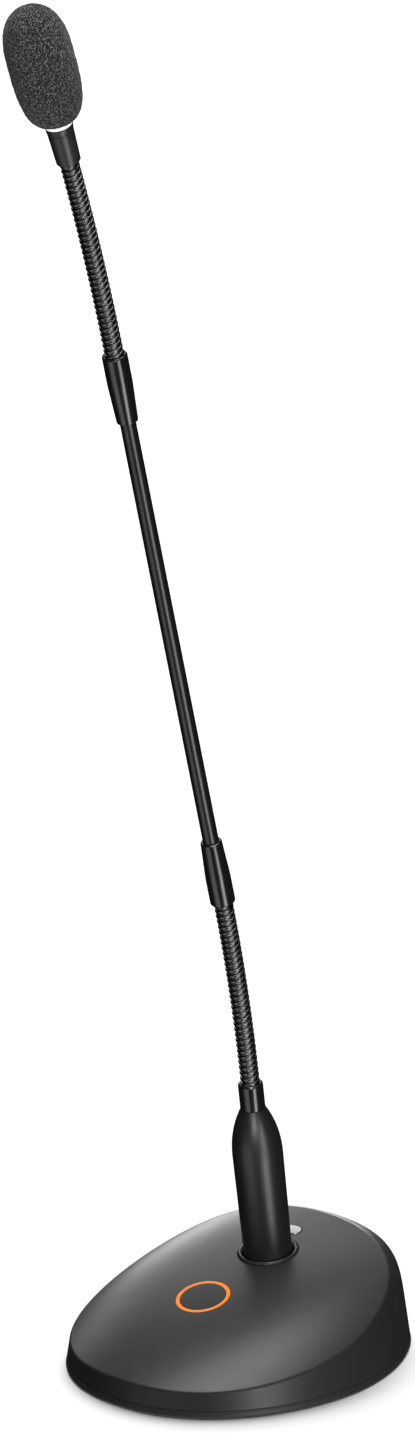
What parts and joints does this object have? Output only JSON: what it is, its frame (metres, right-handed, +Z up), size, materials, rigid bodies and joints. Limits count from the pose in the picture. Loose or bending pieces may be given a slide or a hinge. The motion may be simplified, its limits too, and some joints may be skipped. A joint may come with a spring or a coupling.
{
  "type": "gooseneck podium microphone",
  "caption": "Desk microphone: weighted oval base with a light ring, plug-in two-section gooseneck with a centre tube, slim head and foam windscreen.",
  "frame": {"origin": "centre of the base's footprint, on the table", "axes": "+Z up along the microphone, -Y towards the talker, +X to the talker's right"},
  "size_m": [0.118, 0.1871, 0.546],
  "materials": {
    "cover_plastic": "fine satin texture, charcoal",
    "pad_rubber": "matt",
    "plate_paint": "fine texture, black",
    "ballast_steel": "raw",
    "screw_steel": "zinc plated",
    "socket_metal": "satin black",
    "nut_metal": "nickel plated",
    "insert_plastic": "black",
    "contact_metal": "gold plated",
    "wire_red": "insulated wire",
    "wire_blue": "insulated wire",
    "ring_orange": "translucent, lit from below",
    "electrode_foil": "copper foil",
    "board_green": "solder mask",
    "led_lens": "clear",
    "tab_silver": "satin silver",
    "spring_steel": "wire",
    "mic_black": "smooth semi-gloss black",
    "flex_black": "semi-gloss black winding",
    "ring_white": "translucent white",
    "capsule_metal": "satin",
    "seat_rubber": "soft",
    "grille_metal": "perforated",
    "windscreen_foam": "open-cell foam, charcoal"
  },
  "bodies": {
    "base": {"top_cover": "cover_plastic", "base_pad": "pad_rubber", "bottom_plate": "plate_paint", "ballast_weight": "ballast_steel", "base_screws": "screw_steel", "socket_shell": "socket_metal", "socket_nut": "nut_metal", "socket_insert": "insert_plastic", "socket_contacts": "contact_metal", "socket_leads": "wire_red", "light_ring": "ring_orange", "touch_cap": "cover_plastic", "touch_electrode": "electrode_foil", "touch_board": "board_green", "ring_leds": "led_lens", "main_board": "board_green", "board_standoffs": "contact_metal", "board_screws": "screw_steel", "output_shell": "socket_metal", "output_nut": "nut_metal", "output_insert": "insert_plastic", "output_pins": "contact_metal", "output_leads": "wire_blue", "tab_spring": "spring_steel"},
    "tab": {"release_tab": "tab_silver"},
    "mic": {"barrel": "mic_black", "plug_insert": "insert_plastic", "plug_pins": "contact_metal", "preamp_board": "board_green", "grub_screw": "screw_steel", "ferrule": "mic_black", "flex_lower_root": "flex_black"},
    "lower_1": {"flex_lower_1": "flex_black"},
    "lower_2": {"flex_lower_2": "flex_black"},
    "lower_3": {"flex_lower_3": "flex_black"},
    "lower_4": {"flex_lower_4": "flex_black"},
    "lower_5": {"flex_lower_5": "flex_black"},
    "lower_6": {"flex_lower_6": "flex_black"},
    "lower_7": {"flex_lower_7": "flex_black"},
    "stem": {"flex_lower_tip": "flex_black", "lower_collar": "mic_black", "centre_tube": "mic_black", "upper_collar": "mic_black", "flex_upper_root": "flex_black"},
    "upper_1": {"flex_upper_1": "flex_black"},
    "upper_2": {"flex_upper_2": "flex_black"},
    "upper_3": {"flex_upper_3": "flex_black"},
    "upper_4": {"flex_upper_4": "flex_black"},
    "upper_5": {"flex_upper_5": "flex_black"},
    "upper_6": {"flex_upper_6": "flex_black"},
    "upper_7": {"flex_upper_7": "flex_black"},
    "head": {"flex_upper_tip": "flex_black", "head_body": "mic_black", "head_light_ring": "ring_white", "head_leds": "led_lens", "capsule_housing": "mic_black", "capsule": "capsule_metal", "capsule_seat": "seat_rubber", "capsule_grille": "grille_metal"},
    "windscreen": {"windscreen": "windscreen_foam"}
  },
  "joints": [
    {"name": "release_press", "type": "slide", "parent": "base", "child": "tab", "axis": [0, 0.1392, -0.9903], "range_m": [0, 0.0012], "stiffness_N_per_m": 400, "springref_m": -0.002, "deforming": ["tab_spring"]},
    {"name": "mic_unplug", "type": "slide", "parent": "base", "child": "mic", "axis": [0, -0.1392, 0.9903], "range_m": [0, 0.04]},
    {"name": "lower_nod_1", "type": "hinge", "parent": "mic", "child": "lower_1", "pos_m": [0, 0.00573, 0.11026], "axis": [1, 0, 0], "range_deg": [-15, 15]},
    {"name": "lower_side_1", "type": "hinge", "parent": "lower_1", "child": "lower_2", "pos_m": [0, 0.00427, 0.11971], "axis": [0, 0.9872, 0.1597], "range_deg": [-15, 15]},
    {"name": "lower_nod_2", "type": "hinge", "parent": "lower_2", "child": "lower_3", "pos_m": [0, 0.00268, 0.12913], "axis": [1, 0, 0], "range_deg": [-15, 15]},
    {"name": "lower_side_2", "type": "hinge", "parent": "lower_3", "child": "lower_4", "pos_m": [0, 0.00096, 0.13854], "axis": [0, 0.9824, 0.187], "range_deg": [-15, 15]},
    {"name": "lower_nod_3", "type": "hinge", "parent": "lower_4", "child": "lower_5", "pos_m": [0, -0.0009, 0.14792], "axis": [1, 0, 0], "range_deg": [-15, 15]},
    {"name": "lower_side_3", "type": "hinge", "parent": "lower_5", "child": "lower_6", "pos_m": [0, -0.00288, 0.15728], "axis": [0, 0.9768, 0.2141], "range_deg": [-15, 15]},
    {"name": "lower_nod_4", "type": "hinge", "parent": "lower_6", "child": "lower_7", "pos_m": [0, -0.00499, 0.1666], "axis": [1, 0, 0], "range_deg": [-15, 15]},
    {"name": "lower_side_4", "type": "hinge", "parent": "lower_7", "child": "stem", "pos_m": [0, -0.00723, 0.1759], "axis": [0, 0.9705, 0.2411], "range_deg": [-15, 15]},
    {"name": "upper_nod_1", "type": "hinge", "parent": "stem", "child": "upper_1", "pos_m": [0, -0.06731, 0.41071], "axis": [1, 0, 0], "range_deg": [-18, 18]},
    {"name": "upper_side_1", "type": "hinge", "parent": "upper_1", "child": "upper_2", "pos_m": [0, -0.06993, 0.42056], "axis": [0, 0.9647, 0.2632], "range_deg": [-18, 18]},
    {"name": "upper_nod_2", "type": "hinge", "parent": "upper_2", "child": "upper_3", "pos_m": [0, -0.07267, 0.43037], "axis": [1, 0, 0], "range_deg": [-18, 18]},
    {"name": "upper_side_2", "type": "hinge", "parent": "upper_3", "child": "upper_4", "pos_m": [0, -0.0755, 0.44015], "axis": [0, 0.959, 0.2835], "range_deg": [-18, 18]},
    {"name": "upper_nod_3", "type": "hinge", "parent": "upper_4", "child": "upper_5", "pos_m": [0, -0.07845, 0.44991], "axis": [1, 0, 0], "range_deg": [-18, 18]},
    {"name": "upper_side_3", "type": "hinge", "parent": "upper_5", "child": "upper_6", "pos_m": [0, -0.08149, 0.45963], "axis": [0, 0.9527, 0.3038], "range_deg": [-18, 18]},
    {"name": "upper_nod_4", "type": "hinge", "parent": "upper_6", "child": "upper_7", "pos_m": [0, -0.08463, 0.46932], "axis": [1, 0, 0], "range_deg": [-18, 18]},
    {"name": "upper_side_4", "type": "hinge", "parent": "upper_7", "child": "head", "pos_m": [0, -0.08788, 0.47897], "axis": [0, 0.9461, 0.3239], "range_deg": [-18, 18]},
    {"name": "windscreen_pull", "type": "slide", "parent": "head", "child": "windscreen", "axis": [0, -0.3289, 0.9444], "range_m": [0, 0.055]}
  ],
  "couplings": [
    {"joint": "lower_nod_2", "follows": "lower_nod_1", "ratio": 1},
    {"joint": "lower_side_2", "follows": "lower_side_1", "ratio": 1},
    {"joint": "lower_nod_3", "follows": "lower_nod_1", "ratio": 1},
    {"joint": "lower_side_3", "follows": "lower_side_1", "ratio": 1},
    {"joint": "lower_nod_4", "follows": "lower_nod_1", "ratio": 1},
    {"joint": "lower_side_4", "follows": "lower_side_1", "ratio": 1},
    {"joint": "upper_nod_2", "follows": "upper_nod_1", "ratio": 1},
    {"joint": "upper_side_2", "follows": "upper_side_1", "ratio": 1},
    {"joint": "upper_nod_3", "follows": "upper_nod_1", "ratio": 1},
    {"joint": "upper_side_3", "follows": "upper_side_1", "ratio": 1},
    {"joint": "upper_nod_4", "follows": "upper_nod_1", "ratio": 1},
    {"joint": "upper_side_4", "follows": "upper_side_1", "ratio": 1}
  ]
}
